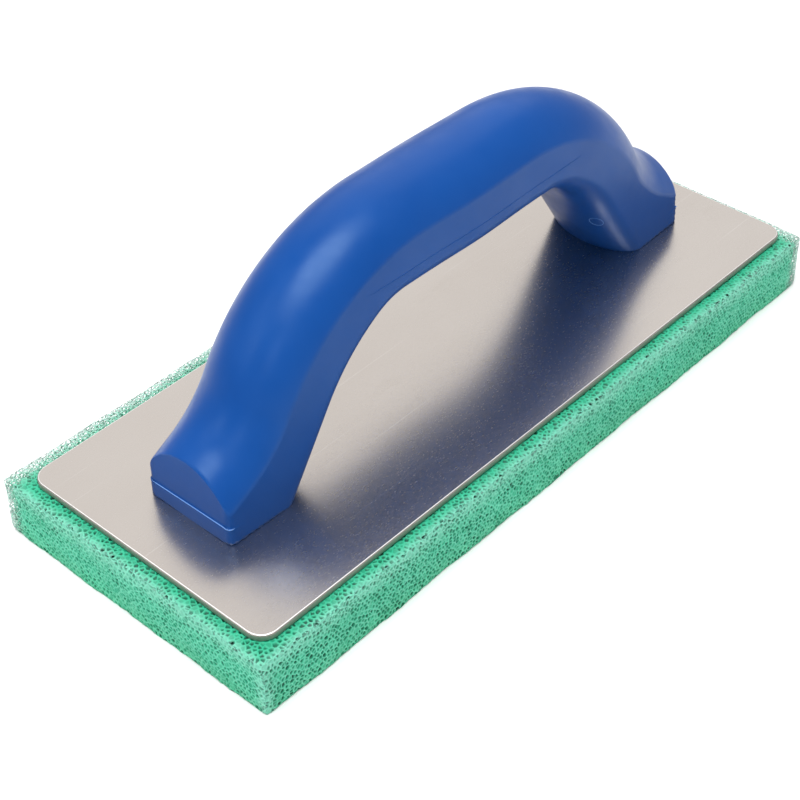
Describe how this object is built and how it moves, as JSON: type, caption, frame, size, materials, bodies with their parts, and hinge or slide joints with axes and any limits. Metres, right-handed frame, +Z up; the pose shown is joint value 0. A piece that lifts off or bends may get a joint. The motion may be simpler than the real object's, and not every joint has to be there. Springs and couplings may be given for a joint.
{
  "type": "grout float",
  "caption": "Rectangular foam-faced hand float: moulded bridge handle screwed to a metal backing plate that is bonded to an open-cell foam pad.",
  "frame": {"origin": "middle of the foam pad's bottom face, which is the working face", "axes": "+X along the float's length towards the rear foot, +Y across its width, +Z up through the handle"},
  "size_m": [0.2414, 0.1016, 0.0901],
  "materials": {
    "foam": "matte open-cell foam",
    "adhesive": "matte",
    "plate": "mill finish with a fine lengthwise grain",
    "handle": "semi-gloss moulded",
    "screws": "zinc plated"
  },
  "bodies": {
    "root": {"foam_pad": "foam", "adhesive_film": "adhesive", "backing_plate": "plate", "handle": "handle", "front_outer_screw": "screws", "front_inner_screw": "screws", "rear_inner_screw": "screws", "rear_outer_screw": "screws"}
  },
  "joints": []
}
